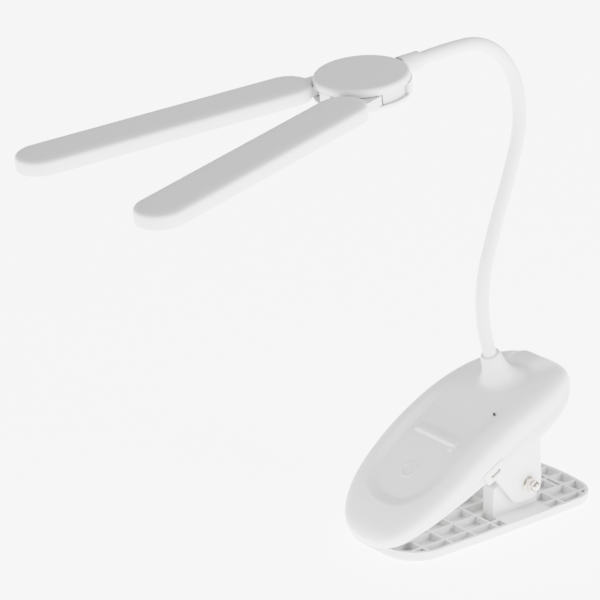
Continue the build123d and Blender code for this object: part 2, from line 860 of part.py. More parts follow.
def build_arm(upper):
    """Arm of the left bar, in the hub frame before the splay."""
    knuckle_low = arm_middle + arm_split_gap / 2 if upper else arm_low
    knuckle_high = arm_high if upper else arm_middle - arm_split_gap / 2
    inner_face = bar_offset - tongue_width / 2
    outer_face = bar_offset + tongue_width / 2
    knuckle = cylinder_z(knuckle_radius, knuckle_low, knuckle_high)
    web = block(-12.0, 2.0, 0, outer_face - 2.0, knuckle_low, knuckle_high)
    web = web & cylinder_z(arm_outer_radius, -50, 50)
    tongue = block(
        -(bar_root_distance + tongue_in_bar), -12.0, inner_face, outer_face, max(tongue_bottom, arm_low),
        min(tongue_top, arm_high),
    )
    angle_start = degrees(atan2(outer_face, sqrt(arm_outer_radius ** 2 - outer_face ** 2))) - 4.0
    wall = ring_sector(
        arm_outer_radius - arm_wall, arm_outer_radius, arm_low, arm_high, angle_start, arm_wall_end_angle
    )
    rib = ring_sector(
        knuckle_radius - 1.0, arm_outer_radius - 0.5, knuckle_low, knuckle_high,
        arm_wall_end_angle - 32, arm_wall_end_angle,
    )
    arm = knuckle + web + tongue + wall + rib
    return single(arm - cylinder_z(hub_post_radius + running_clearance, -50, 50))


def build_bar():
    """Housing, diffuser, board and lights of the left bar before the splay."""
    outline = stadium(bar_root_distance, bar_length, bar_width)
    housing = layer(outline, -bar_height, 0)
    housing = fillet(housing.faces().sort_by(Axis.Z)[-1].edges(), bar_top_fillet)
    inner_start = bar_root_distance + bar_root_block
    inner_length = bar_length - bar_root_block - bar_wall
    inner = stadium(inner_start, inner_length, bar_width - 2 * bar_wall)
    housing = housing - layer(inner, -bar_height - 1, -bar_wall)
    tongue_room = block(
        -(bar_root_distance + tongue_in_bar), -bar_root_distance + 20, bar_offset - tongue_width / 2,
        bar_offset + tongue_width / 2, max(tongue_bottom, arm_low), min(tongue_top, arm_high),
    )
    housing = housing - tongue_room
    pane_width = bar_width - 2 * bar_wall - 2 * diffuser_gap
    pane = stadium(inner_start + diffuser_gap, inner_length - 2 * diffuser_gap, pane_width)
    diffuser = layer(pane, -bar_height + 0.3, -bar_height + 0.3 + diffuser_thickness)
    board_length_bar = inner_length - 14.0
    board_x = -(inner_start + inner_length / 2)
    board = block(
        board_x - board_length_bar / 2, board_x + board_length_bar / 2, bar_offset - led_board_width / 2,
        bar_offset + led_board_width / 2, led_board_level, led_board_level + led_board_thickness,
    )
    chips = []
    count = int((board_length_bar - 8.0) / led_pitch)
    for index in range(count + 1):
        x = board_x + (index - count / 2) * led_pitch
        for side in (-1, 1):
            y = bar_offset + side * led_row_offset
            chips.append(block(
                x - led_size[0] / 2, x + led_size[0] / 2, y - led_size[1] / 2, y + led_size[1] / 2,
                led_board_level - led_size[2], led_board_level,
            ))
    return {
        "bar_housing": single(housing),
        "diffuser": single(diffuser),
        "led_board": board,
        "led_chips": Compound(children=chips),
    }


def build_bars():
    for name, upper in (("left", False), ("right", True)):
        pieces = build_bar()
        pieces["arm"] = build_arm(upper)
        for piece, shape in pieces.items():
            turned = Rot(0, 0, -bar_splay) * shape
            if name == "right":
                turned = mirror(turned, Plane.XZ)
            save(piece + "_" + name, head_place * turned)

    washers = []
    for low in (slot_floor, arm_middle - hub_washer_thickness / 2, slot_top - hub_washer_thickness):
        washer = cylinder_z(knuckle_radius - 1.0, low, low + hub_washer_thickness)
        washers.append(single(washer - cylinder_z(hub_post_radius + running_clearance, -50, 50)))
    save("hub_washers", head_place * Compound(children=washers))


save("lower_jaw", build_lower_jaw())
build_body()
build_pivot()
build_electronics()
build_neck()
build_hub()
build_bars()
for index, point in enumerate(neck_points):
    print("neck joint", index, round(point[0], 3), round(point[1], 3), round(neck_headings[index], 2))
print("head origin", [round(value, 3) for value in head_origin], "tilt", round(head_tilt, 3))
print("head axis", [round(value, 5) for value in head_z_axis])
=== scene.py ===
import bpy
import json
import math
import numpy as np
from mathutils import Matrix, Vector


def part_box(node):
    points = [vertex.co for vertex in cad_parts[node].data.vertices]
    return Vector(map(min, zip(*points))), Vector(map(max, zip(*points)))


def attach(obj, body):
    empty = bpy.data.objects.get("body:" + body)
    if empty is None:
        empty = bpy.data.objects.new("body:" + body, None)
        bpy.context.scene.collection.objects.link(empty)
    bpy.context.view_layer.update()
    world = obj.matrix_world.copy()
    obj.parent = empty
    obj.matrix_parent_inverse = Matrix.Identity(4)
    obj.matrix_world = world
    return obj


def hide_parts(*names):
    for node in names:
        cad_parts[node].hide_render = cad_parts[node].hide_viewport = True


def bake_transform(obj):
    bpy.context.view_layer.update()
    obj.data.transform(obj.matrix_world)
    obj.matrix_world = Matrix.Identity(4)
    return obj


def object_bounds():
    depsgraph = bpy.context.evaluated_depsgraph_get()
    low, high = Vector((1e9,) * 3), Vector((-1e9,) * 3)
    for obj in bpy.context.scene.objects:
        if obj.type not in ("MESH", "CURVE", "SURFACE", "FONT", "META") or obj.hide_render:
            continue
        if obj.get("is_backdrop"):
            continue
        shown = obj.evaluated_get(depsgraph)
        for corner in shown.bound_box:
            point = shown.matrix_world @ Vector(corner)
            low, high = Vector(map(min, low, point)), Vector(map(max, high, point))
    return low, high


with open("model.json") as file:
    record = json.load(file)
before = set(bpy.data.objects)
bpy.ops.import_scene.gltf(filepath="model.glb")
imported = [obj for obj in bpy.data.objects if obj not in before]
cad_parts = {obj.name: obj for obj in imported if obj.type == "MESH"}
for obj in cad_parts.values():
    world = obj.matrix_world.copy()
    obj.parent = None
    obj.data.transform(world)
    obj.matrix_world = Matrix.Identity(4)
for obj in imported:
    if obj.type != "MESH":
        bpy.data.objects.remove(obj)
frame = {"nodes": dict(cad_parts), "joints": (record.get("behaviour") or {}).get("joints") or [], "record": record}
START_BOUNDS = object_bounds()

bl_info = {
    "name": "Clip-on Reading Lamp",
    "version": (1, 0, 0),
    "blender": (4, 5, 0),
    "location": "View3D > Sidebar > Lamp",
    "description": "Builds the looks of a clip-on reading lamp around its CAD frame",
    "category": "Add Mesh",
}

MM = 0.001


# ---- settings ------------------------------------------------------------------
def length(name, description, default):
    """A size in metres."""
    return bpy.props.FloatProperty(
        name=name, description=description, default=default, min=0.0,
        unit="LENGTH", subtype="DISTANCE", precision=5,
    )


def offset(name, description, default):
    """A place relative to a joint, in metres."""
    return bpy.props.FloatVectorProperty(
        name=name, description=description, default=default, unit="LENGTH", subtype="TRANSLATION", precision=5
    )


def turn(name, description, default):
    """An angle given in degrees and kept in radians."""
    return bpy.props.FloatProperty(
        name=name, description=description, default=math.radians(default), unit="ROTATION", subtype="ANGLE"
    )


def paint(name, description, code):
    """A colour given as a hex sRGB code and kept linear."""
    return bpy.props.FloatVectorProperty(
        name=name, description=description, default=linear(code), size=3, subtype="COLOR", min=0.0, max=1.0
    )


def linear(code):
    """Hex sRGB colour as linear red, green and blue."""
    values = [int(code[i:i + 2], 16) / 255 for i in (0, 2, 4)]
    return tuple(v / 12.92 if v <= 0.04045 else ((v + 0.055) / 1.055) ** 2.4 for v in values)


class LAMP_PG_body(bpy.types.PropertyGroup):
    """Casing of the clip: its frame, outline, panel and boss."""
    nose: offset("Nose", "Front end of the casing's chord, from the clip's pivot", (-0.0966, 0.0, -0.0136))
    tilt: turn("Tilt", "Rise of the chord from nose to tail", 26.65)
    span: length("Length", "Chord from nose to tail", 0.148)
    half_width: length("Half width", "Half of the casing's widest part", 0.0355)
    rim_arch: length("Rim arch", "Rise of the rim over the chord at mid length", 0.0100)
    panel_depth: length("Panel depth", "How far the panel lies under the casing's edge", 0.0025)
    panel_slope: length("Panel slope width", "Width of the sloping edge round the panel", 0.0052)
    symbol_place: length("Symbol place", "Power symbol's distance from the nose", 0.0420)
    symbol_radius: length("Symbol radius", "Radius of the power symbol's ring", 0.0044)
    ledge_place: length("Ledge place", "Finger ledge's distance from the nose", 0.0642)
    ledge_height: length("Ledge height", "Rise of the finger ledge", 0.0013)
    boss_lean: turn("Boss lean", "Lean of the boss from upright", -22.2)
    skirt_inset: length("Skirt inset", "How far the skirt stands in from the casing", 0.0016)
    ear_radius: length("Ear radius", "Rounded end of the pivot ears", 0.0098)
    ear_thickness: length("Ear thickness", "Wall of the pivot ears", 0.0025)


class LAMP_PG_neck(bpy.types.PropertyGroup):
    """Gooseneck sleeve."""
    radius: length("Sleeve radius", "Outer radius of the gooseneck's sleeve", 0.0036)
    steps: bpy.props.IntProperty(name="Steps", description="Rings along each link", default=14, min=4)


class LAMP_PG_head(bpy.types.PropertyGroup):
    """Hub and the two light bars, in the hub's own frame."""
    hub_radius: length("Hub radius", "Radius of the hub's cover", 0.0245)
    hub_edge: length("Hub edge", "Rounding of the cover's upper edge", 0.0019)
    bar_length: length("Bar length", "Length of one light bar", 0.160)
    bar_width: length("Bar width", "Width of one light bar", 0.0266)
    bar_height: length("Bar height", "Height of one light bar", 0.0078)
    bar_offset: length("Bar offset", "Bar's centre line from the hub's centre", 0.0147)
    bar_root: length("Bar root", "Distance from the hub's centre to the bar's near end", 0.022)
    neck_end: length("Neck end", "Hub's centre to the start of the gooseneck's straight end", 0.0392)
    neck_drop: length("Neck drop", "How far the gooseneck enters below the hub's middle", 0.0036)
    bar_splay: turn("Bar splay", "Turn of each bar outwards from straight ahead", 11.4)


class LAMP_PG_looks(bpy.types.PropertyGroup):
    """Colours of the lamp and its stage."""
    casing: paint("Casing", "Satin white ABS of the casing, hub and bars", "F1F1F1")
    # the skirt colour is darker than the casing's white: painted shade for the skirt and tray under the casing
    skirt: paint("Skirt", "Shade-painted ABS of the skirt and tray", "E4E4E2")
    sleeve: paint("Sleeve", "White silicone sleeve of the gooseneck", "F3F3F3")
    nickel: paint("Nickel", "Nickel plate of the pivot bolt and nut", "D6CFC4")
    floor: paint("Floor", "Pale studio floor", "FBFBFB")
    table_light: bpy.props.FloatProperty(
        name="Table light", description="Glow of the studio table", default=7.0, min=0.0
    )
    sky_light: bpy.props.FloatProperty(
        name="Sky light", description="Light from all round", default=0.9, min=0.0
    )


GROUPS = (
    ("lamp_body", LAMP_PG_body),
    ("lamp_neck", LAMP_PG_neck),
    ("lamp_head", LAMP_PG_head),
    ("lamp_looks", LAMP_PG_looks),
)


# ---- materials -------------------------------------------------------------------
def add_node(tree, kind, settings=None, links=None):
    """Adds a shader node, sets its inputs or attributes and links its inputs."""
    node = tree.nodes.new(kind)
    for key, value in (settings or {}).items():
        if key in node.inputs:
            node.inputs[key].default_value = value
        else:
            setattr(node, key, value)
    for key, source in (links or {}).items():
        tree.links.new(source, node.inputs[key])
    return node


def plastic(name, colour, roughness, grain, depth, subsurface=0.0, shade=0.0, reach=0.006):
    """Moulded plastic with a fine spark-eroded grain; grain, depth and reach in metres.

    shade is how much painted shade darkens the colour in gaps and recesses narrower than reach.
    """
    material = bpy.data.materials.new(name)
    material.use_nodes = True
    tree = material.node_tree
    shader = tree.nodes["Principled BSDF"]
    shader.inputs["Base Color"].default_value = (*colour, 1.0)
    shader.inputs["Roughness"].default_value = roughness
    shader.inputs["IOR"].default_value = 1.49
    if shade:
        # painted shade: ambient occlusion darkens the base colour in gaps and recesses, where shade falls
        recess = add_node(tree, "ShaderNodeAmbientOcclusion", {"samples": 8, "Distance": reach})
        painted_shade_colour = tuple(c * (1 - shade) for c in colour)
        mix = add_node(
            tree, "ShaderNodeMixRGB", {"Color1": (*painted_shade_colour, 1.0), "Color2": (*colour, 1.0)},
            {"Fac": recess.outputs["AO"]},
        )
        tree.links.new(mix.outputs["Color"], shader.inputs["Base Color"])
    if subsurface:
        shader.inputs["Subsurface Weight"].default_value = subsurface
        shader.inputs["Subsurface Radius"].default_value = (1.2, 1.0, 0.9)
        shader.inputs["Subsurface Scale"].default_value = 0.0012
    place = add_node(tree, "ShaderNodeTexCoord")
    noise = add_node(
        tree, "ShaderNodeTexNoise",
        {"Scale": 1.0 / grain, "Detail": 3.0, "Roughness": 0.6},
        {"Vector": place.outputs["Object"]},
    )
    bump = add_node(
        tree, "ShaderNodeBump", {"Distance": depth, "Strength": 0.35}, {"Height": noise.outputs["Fac"]}
    )
    tree.links.new(bump.outputs["Normal"], shader.inputs["Normal"])
    return material


def metal(name, colour, roughness, grain=0.0006, spread=0.06):
    """Plain or plated metal with slightly uneven roughness."""
    material = bpy.data.materials.new(name)
    material.use_nodes = True
    tree = material.node_tree
    shader = tree.nodes["Principled BSDF"]
    shader.inputs["Base Color"].default_value = (*colour, 1.0)
    shader.inputs["Metallic"].default_value = 1.0
    place = add_node(tree, "ShaderNodeTexCoord")
    noise = add_node(
        tree, "ShaderNodeTexNoise", {"Scale": 1.0 / grain, "Detail": 2.0}, {"Vector": place.outputs["Object"]}
    )
    span = add_node(
        tree, "ShaderNodeMapRange",
        {"To Min": roughness, "To Max": roughness + spread},
        {"Value": noise.outputs["Fac"]},
    )
    tree.links.new(span.outputs["Result"], shader.inputs["Roughness"])
    return material


def build_materials():
    """All materials by their slot in the record."""
    looks = bpy.context.scene.lamp_looks
    grain = 0.00035
    return {
        # injection moulded ABS, fine matte texture; shade sets the painted shade in gaps and recesses, strongest
        # on the skirt and tray
        "white_abs": plastic("White ABS", looks.casing, 0.42, grain, 0.00001, subsurface=0.05, shade=0.45),
        "bar_abs": plastic("White ABS bars", looks.casing, 0.40, grain, 0.00001, subsurface=0.05, shade=0.35),
        # looks.skirt is darker than the casing: painted shade on the skirt and tray
        "skirt_abs": plastic("Shade-painted ABS", looks.skirt, 0.48, grain, 0.00001, shade=0.62, reach=0.012),
        # extruded silicone, smooth
        "neck_sleeve": plastic("White silicone sleeve", looks.sleeve, 0.38, 0.0008, 0.000004, subsurface=0.2),
        "silicone": plastic("Grey silicone", linear("DCDCDA"), 0.62, 0.0005, 0.00001),
        "nickel": metal("Nickel plate", looks.nickel, 0.12),
        "spring_steel": metal("Spring steel", linear("9FA1A4"), 0.35),
        "zinc_screw": metal("Zinc plate", linear("B4B4B2"), 0.30),
        "nylon": plastic("Natural nylon", linear("EDEAE2"), 0.45, grain, 0.000006),
        "circuit_board": plastic("White solder mask", linear("DDE4DC"), 0.35, 0.0010, 0.000004),
        "battery_wrap": metal("Foil pouch", linear("B9BCC0"), 0.34, 0.004),
        "clear_resin": plastic("Smoked light pipe", linear("3A3A3A"), 0.25, grain, 0.000002),
        "led_resin": plastic("Phosphor light chips", linear("F3DC8A"), 0.30, grain, 0.000002),
        "diffuser": plastic("Opal diffuser", linear("F4F4F2"), 0.50, 0.0006, 0.000008, subsurface=0.4),
    }


MATERIALS = {}


# ---- mesh tools -------------------------------------------------------------------
def make_piece(name, verts, faces, slot_name, body=None, replaced=(), matrix=None, flat_angle=35.0):
    """A mesh object with a material, riding on a body and standing for CAD nodes."""
    mesh = bpy.data.meshes.new(name)
    verts = np.asarray(verts, float)
    if matrix is not None:
        verts = (np.array(matrix)[:3, :3] @ verts.T).T + np.array(matrix)[:3, 3]
    mesh.from_pydata(verts.tolist(), [], [list(map(int, f)) for f in faces])
    mesh.validate()
    mesh.materials.append(MATERIALS[slot_name])
    mesh.polygons.foreach_set("use_smooth", [True] * len(mesh.polygons))
    mesh.set_sharp_from_angle(angle=math.radians(flat_angle))
    mesh.update()
    piece = bpy.data.objects.new(name, mesh)
    bpy.context.scene.collection.objects.link(piece)
    if body:
        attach(piece, body)
    if replaced:
        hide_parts(*replaced)
    return piece


def grid_faces(rows, columns, closed=False, first=0):
    """Quads of a grid of points stored row by row."""
    faces = []
    last = columns if closed else columns - 1
    for i in range(rows - 1):
        for j in range(last):
            k = (j + 1) % columns
            a = first + i * columns
            faces.append((a + j, a + k, a + columns + k, a + columns + j))
    return faces


def ring_stack(rings, cap_start=True, cap_end=True):
    """Closed skin over a stack of rings with equal point counts."""
    count = len(rings[0])
    verts = np.concatenate(rings)
    faces = grid_faces(len(rings), count, closed=True)
    if cap_start:
        faces.append(tuple(range(count - 1, -1, -1)))
    if cap_end:
        faces.append(tuple(range(len(verts) - count, len(verts))))
    return verts, faces


def lathe(profile, segments=96):
    """Revolves (radius, height) pairs about Z."""
    angles = np.linspace(0, 2 * math.pi, segments, endpoint=False)
    rings = [np.stack([r * np.cos(angles), r * np.sin(angles), np.full(segments, z)], 1) for r, z in profile]
    return ring_stack(rings)


def smooth_value(line, at):
    """Smooth value through (place, value) pairs, with tangents averaged from the neighbouring slopes and held
    level beyond the ends.
    """
    xs = np.array([p[0] for p in line], float)
    ys = np.array([p[1] for p in line], float)
    slopes = np.diff(ys) / np.diff(xs)
    tangents = np.concatenate([[slopes[0]], (slopes[:-1] + slopes[1:]) / 2, [slopes[-1]]])
    at = np.clip(at, xs[0], xs[-1])
    i = np.clip(np.searchsorted(xs, at) - 1, 0, len(xs) - 2)
    h = xs[i + 1] - xs[i]
    t = (at - xs[i]) / h
    return (
        (2 * t ** 3 - 3 * t ** 2 + 1) * ys[i] + (t ** 3 - 2 * t ** 2 + t) * h * tangents[i]
        + (3 * t ** 2 - 2 * t ** 3) * ys[i + 1] + (t ** 3 - t ** 2) * h * tangents[i + 1]
    )


def soft_step(value, low, high):
    """0 below low, 1 above high, smooth between."""
    t = np.clip((value - low) / (high - low), 0, 1)
    return t * t * (3 - 2 * t)


def crisp_step(value, low, high, rounding=0.5):
    """Straight ramp from 0 at low to 1 at high with slightly rounded corners."""
    ramp = 0
    for shift in (-rounding, 0.0, rounding):
        ramp = ramp + np.clip((value + shift - low) / (high - low), 0, 1) / 3
    return ramp


def outline_normals(points):
    """Outward normals of a closed outline that runs anticlockwise."""
    ahead = np.roll(points, -1, 0) - points
    behind = points - np.roll(points, 1, 0)
    tangent = ahead / np.linalg.norm(ahead, axis=1)[:, None]
    tangent = tangent + behind / np.linalg.norm(behind, axis=1)[:, None]
    tangent /= np.linalg.norm(tangent, axis=1)[:, None]
    return np.stack([tangent[:, 1], -tangent[:, 0]], 1)


def slab(points, profile):
    """Solid between rings of an outline drawn in by (inset, height) pairs."""
    points = np.asarray(points, float)
    normals = outline_normals(points)
    rings = []
    for inset, height in profile:
        ring = points - normals * inset
        rings.append(np.column_stack([ring, np.full(len(ring), height)]))
    return ring_stack(rings)


def rounded_profile(low, high, radius, steps=5):
    """(inset, height) pairs of a slab with both edges rounded."""
    pairs = []
    for k in range(steps + 1):
        angle = math.radians(90 * k / steps)
        pairs.append((radius * (1 - math.sin(angle)), low + radius * (1 - math.cos(angle))))
    for k in range(steps + 1):
        angle = math.radians(90 * k / steps)
        pairs.append((radius * (1 - math.cos(angle)), high - radius * (1 - math.sin(angle))))
    return pairs


def rounded_polygon(corners, radii, steps=8):
    """Outline through corners, each rounded by its own radius, anticlockwise."""
    points = []
    count = len(corners)
    for k in range(count):
        p = Vector(corners[k])
        before = (Vector(corners[k - 1]) - p).normalized()
        after = (Vector(corners[(k + 1) % count]) - p).normalized()
        radius = radii[k]
        if radius <= 0:
            points.append(tuple(p))
            continue
        half = before.angle(after) / 2
        reach = radius / math.tan(half)
        centre = p + (before + after).normalized() * (radius / math.sin(half))
        a = p + before * reach - centre
        b = p + after * reach - centre
        start = math.atan2(a.y, a.x)
        sweep = math.atan2(b.y, b.x) - start
        sweep = (sweep + math.pi) % (2 * math.pi) - math.pi
        for s in range(steps + 1):
            angle = start + sweep * s / steps
            points.append((centre.x + radius * math.cos(angle), centre.y + radius * math.sin(angle)))
    return np.array(points)


def stadium(start, size, width, side, steps=24):
    """Long round-ended outline running towards -X, anticlockwise."""
    radius = width / 2
    near = -(start + radius)
    far = -(start + size - radius)
    points = []
    for k in range(steps + 1):
        angle = math.radians(90 - 180 * k / steps)
        points.append((near + radius * math.cos(angle), side + radius * math.sin(angle)))
    for k in range(steps + 1):
        angle = math.radians(-90 - 180 * k / steps)
        points.append((far + radius * math.cos(angle), side + radius * math.sin(angle)))
    return np.array(points)[::-1]


# ---- clip body --------------------------------------------------------------------
CROWN_LINE = [
    (0, 3.0), (1.2, 4.6), (4, 7.0), (10, 9.8), (24, 14.6), (45, 19.0), (66, 22.2),
    (90, 22.8), (108, 20.8), (124, 17.4), (136, 13.2), (143, 9.0), (148, 3.4),
]
SKIRT_LINE = [
    (0, 1.6), (4, 2.8), (14, 4.6), (30, 7.6), (50, 11.6), (75, 15.4), (100, 17.6),
    (120, 16.6), (134, 12.6), (141, 8.2), (146, 3.6),
]
BOSS_FLARE = [(5.6, 0.0), (5.9, 3.0), (6.6, 7.0), (7.9, 11.0), (10.4, 15.0), (14.6, 19.0), (21.0, 24.0)]


def body_matrix():
    """Frame of the casing: origin at the nose, X along the chord."""
    sizes = bpy.context.scene.lamp_body
    pivot = Vector(joint_place("clip_open"))
    return Matrix.Translation(pivot + Vector(sizes.nose)) @ Matrix.Rotation(-sizes.tilt, 4, "Y")


def joint_place(name):
    """A joint's place at rest."""
    return [j for j in frame["joints"] if j["name"] == name][0]["pos_m"]


def half_width(u, power=2.8):
    """Half width of the casing in millimetres at a distance from the nose."""
    sizes = bpy.context.scene.lamp_body
    share = np.abs(2 * u / (sizes.span / MM) - 1)
    return sizes.half_width / MM * np.maximum(1 - share ** power, 0) ** (1 / power)


def rim_level(u):
    """Level of the rim over the chord, in millimetres."""
    sizes = bpy.context.scene.lamp_body
    share = 2 * u / (sizes.span / MM) - 1
    return sizes.rim_arch / MM * (1 - share * share)


def panel_distance(u, v):
    """Signed distance to the panel's edge, below zero inside, in millimetres."""
    half_span, front = 25.6, 18.8
    behind = np.maximum(front + 30.0 - u, 0)
    return (behind ** 2.3 / 30.0 ** 2.3 + (np.abs(v) / half_span) ** 2.3) ** (1 / 2.3) * half_span - half_span


def panel_change(u, v):
    """Height change of the casing by its panel, ledge and symbol, in millimetres."""
    sizes = bpy.context.scene.lamp_body
    edge = panel_distance(u, v)
    slope = sizes.panel_slope / MM
    fade = 1 - soft_step(u, 78, 106)
    change = -sizes.panel_depth / MM * (1 - crisp_step(edge, -slope, 0)) * fade
    ledge = sizes.ledge_place / MM
    width = soft_step(16.5 - np.abs(v), 0, 1.2)
    ridge = soft_step(u, ledge - 1.3, ledge) * (1 - soft_step(u, ledge + 0.8, ledge + 7.0))
    change = change + sizes.ledge_height / MM * ridge * width
    near = soft_step(-v, 11.0, 15.5) * soft_step(16.5 + v, 0, 1.0)
    hook = near * soft_step(u, ledge - 4.0, ledge - 2.6) * (1 - soft_step(u, ledge - 0.4, ledge + 1.0))
    change = change + 0.8 * sizes.ledge_height / MM * hook
    return change + symbol_change(u - sizes.symbol_place / MM, v)


def symbol_change(u, v):
    """Raised power symbol: a ring open towards the tail and a bar."""
    radius = bpy.context.scene.lamp_body.symbol_radius / MM
    reach = np.hypot(u, v)
    angle = np.abs(np.arctan2(v, u))
    ring = 1 - soft_step(np.abs(reach - radius), 0.28, 0.62)
    ring = ring * soft_step(angle, 0.55, 0.68)
    bar = (1 - soft_step(np.abs(v), 0.28, 0.62)) * soft_step(u, 0.2, 0.6)
    bar = bar * (1 - soft_step(u, radius + 1.0, radius + 1.5))
    return 0.5 * np.maximum(ring, bar)


def tail_change(u, v):
    """Saddle behind the boss and the raised lip at the tail, in millimetres."""
    lip = soft_step(u, 125, 135) * (1 - soft_step(u, 139, 146)) * np.exp(-(v / 11.5) ** 4)
    dip = soft_step(u, 112, 120) * (1 - soft_step(u, 123, 131)) * np.exp(-(v / 13.0) ** 4)
    return 4.4 * lip - 1.2 * dip


def boss_level(u, v):
    """Height of the boss's flared foot over the chord where it covers (u, v)."""
    sizes = bpy.context.scene.lamp_body
    matrix = body_matrix().inverted() @ boss_matrix()
    origin = np.array(matrix.translation) / MM
    axis = np.array(matrix.col[2][:3])
    radii = [r for r, _ in BOSS_FLARE]
    depths = [(r, d) for r, d in BOSS_FLARE]
    level = np.full(u.shape, -50.0)
    height = origin[2] - 8.0
    for _ in range(14):
        point = np.stack([u - origin[0], v - origin[1], height - origin[2] + 0 * u], -1)
        along = point @ axis
        radial = np.linalg.norm(point - along[..., None] * axis, axis=-1)
        depth = smooth_value(depths, np.clip(radial, radii[0], radii[-1]))
        height = height + (-depth - along) * 0.8
    inside = radial <= radii[-1] - 0.01
    return np.where(inside, height, level)


def boss_matrix():
    """Frame of the boss: origin at the collar's seat, Z along the gooseneck."""
    sizes = bpy.context.scene.lamp_body
    low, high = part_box("neck_collar")
    return Matrix.Translation((low + high) / 2) @ Matrix.Rotation(sizes.boss_lean, 4, "Y")


def casing_height(u, v, half):
    """Height of the casing over its chord, in millimetres."""
    rim = rim_level(u)
    crown = smooth_value(CROWN_LINE, u)
    share = np.clip(np.abs(v) / np.maximum(half, 1e-6), 0, 1)
    power = 4.2
    dome = rim + (crown - rim) * np.maximum(1 - share ** power, 0) ** (1 / power)
    inner = soft_step(half - np.abs(v), 0.5, 4.0)
    return dome + (panel_change(u, v) + tail_change(u, v)) * inner


def blend_up(a, b, reach):
    """Smooth maximum of two heights."""
    h = np.clip(0.5 + 0.5 * (a - b) / reach, 0, 1)
    return b * (1 - h) + a * h + reach * h * (1 - h)


def build_casing():
    """Upper shell with its panel, ledge, symbol, tail lip and boss foot."""
    sizes = bpy.context.scene.lamp_body
    span = sizes.span / MM
    places = span / 2 * (1 - np.cos(np.linspace(0.0, math.pi, 420)))
    places = 0.55 * places + 0.45 * np.linspace(0, span, 420)
    angles = np.linspace(0, math.pi, 241)
    across = np.sign(np.cos(angles)) * np.abs(np.cos(angles)) ** 0.75
    u = np.repeat(places[:, None], len(across), 1)
    half = half_width(u)
    v = half * across[None, :]
    z = casing_height(u, v, half)
    foot = boss_level(u, v)
    z = np.where(foot > -40, blend_up(z, foot, 3.0), z)
    top = np.stack([u, v, z], -1)
    rim = rim_level(places)
    wall = []
    for inset, drop in ((0.0, 0.5), (0.2, 0.9), (0.6, 1.1), (1.7, 1.1)):
        row = []
        for side in (0, -1):
            sign = 1 if side == 0 else -1
            edge = np.maximum(half[:, 0] - inset, 0) * sign
            row.append(np.stack([places, edge, rim - drop], -1))
        wall.append(row)
    left_wall = np.stack([wall[k][0] for k in (3, 2, 1, 0)], 1)
    right_wall = np.stack([wall[k][1] for k in (0, 1, 2, 3)], 1)
    grid = np.concatenate([left_wall, top, right_wall], 1)
    rows, columns = grid.shape[:2]
    verts = grid.reshape(-1, 3) * MM
    make_piece(
        "casing", verts, grid_faces(rows, columns), "white_abs", "clip_body", ("upper_shell",),
        body_matrix(), 60,
    )
    boss_verts, boss_faces = boss_skin()
    make_piece("boss", boss_verts, boss_faces, "white_abs", "clip_body", (), boss_matrix(), 40)


def boss_skin():
    """Upper, turned part of the boss with its rounded rim and bore."""
    profile = [
        (3.75, -9.0), (3.75, 0.0), (3.75, 0.15), (4.0, 0.5),
        (4.6, 0.75), (5.15, 0.6), (5.45, 0.15), (5.6, -0.4),
    ]
    profile += [(r, -d) for r, d in BOSS_FLARE[1:5]]
    return lathe([(r * MM, z * MM) for r, z in profile])


def skirt_point(u, angle, inset):
    """A point of the skirt's cross-section, in millimetres."""
    half = np.maximum(half_width(u) - inset, 0)
    drop = smooth_value(SKIRT_LINE, u)
    across = np.sign(np.cos(angle)) * np.abs(np.cos(angle)) ** 0.5
    lift = np.abs(np.sin(angle)) ** 0.5
    return np.stack([u + 0 * angle, half * across, rim_level(u) - 0.2 - (drop - 0.2) * lift], -1)


def build_skirt():
    """Lower shell: the skirt, the pivot ears and the socket's block."""
    sizes = bpy.context.scene.lamp_body
    span = sizes.span / MM
    inset = sizes.skirt_inset / MM
    places = span / 2 * (1 - np.cos(np.linspace(0.12, math.pi - 0.12, 160)))
    angles = np.linspace(0, math.pi, 97)
    u, a = np.meshgrid(places, angles, indexing="ij")
    grid = skirt_point(u, a, inset)
    rows, columns = grid.shape[:2]
    make_piece(
        "skirt", grid.reshape(-1, 3) * MM, grid_faces(rows, columns), "skirt_abs", "clip_body",
        ("lower_shell",), body_matrix(), 50,
    )
    pivot = Vector(joint_place("clip_open")) / MM
    radius = sizes.ear_radius / MM
    washer_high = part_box("pivot_washers")[1]
    outer = washer_high.y / MM - 0.6
    for side, name in ((-1, "near"), (1, "far")):
        corners = [
            (pivot.x - radius * 0.98, pivot.z - radius * 0.98),
            (pivot.x + radius, pivot.z - radius * 0.98),
            (pivot.x + radius - 2.2, pivot.z + 34.0),
            (-1.5, pivot.z + 17.5),
            (-1.5, pivot.z + 9.0),
        ]
        points = rounded_polygon(corners, [radius * 0.98, radius * 0.98, 1.0, 1.0, 3.0], 14)
        thickness = sizes.ear_thickness / MM
        verts, faces = slab(points * MM, [(i * MM, h * MM) for i, h in rounded_profile(0, thickness, 0.45)])
        y = outer if side > 0 else thickness - outer
        place = Matrix.Translation((0, y * MM, 0)) @ Matrix.Rotation(math.pi / 2, 4, "X")
        make_piece("ear_" + name, verts, faces, "white_abs", "clip_body", (), place)
    build_socket_block()


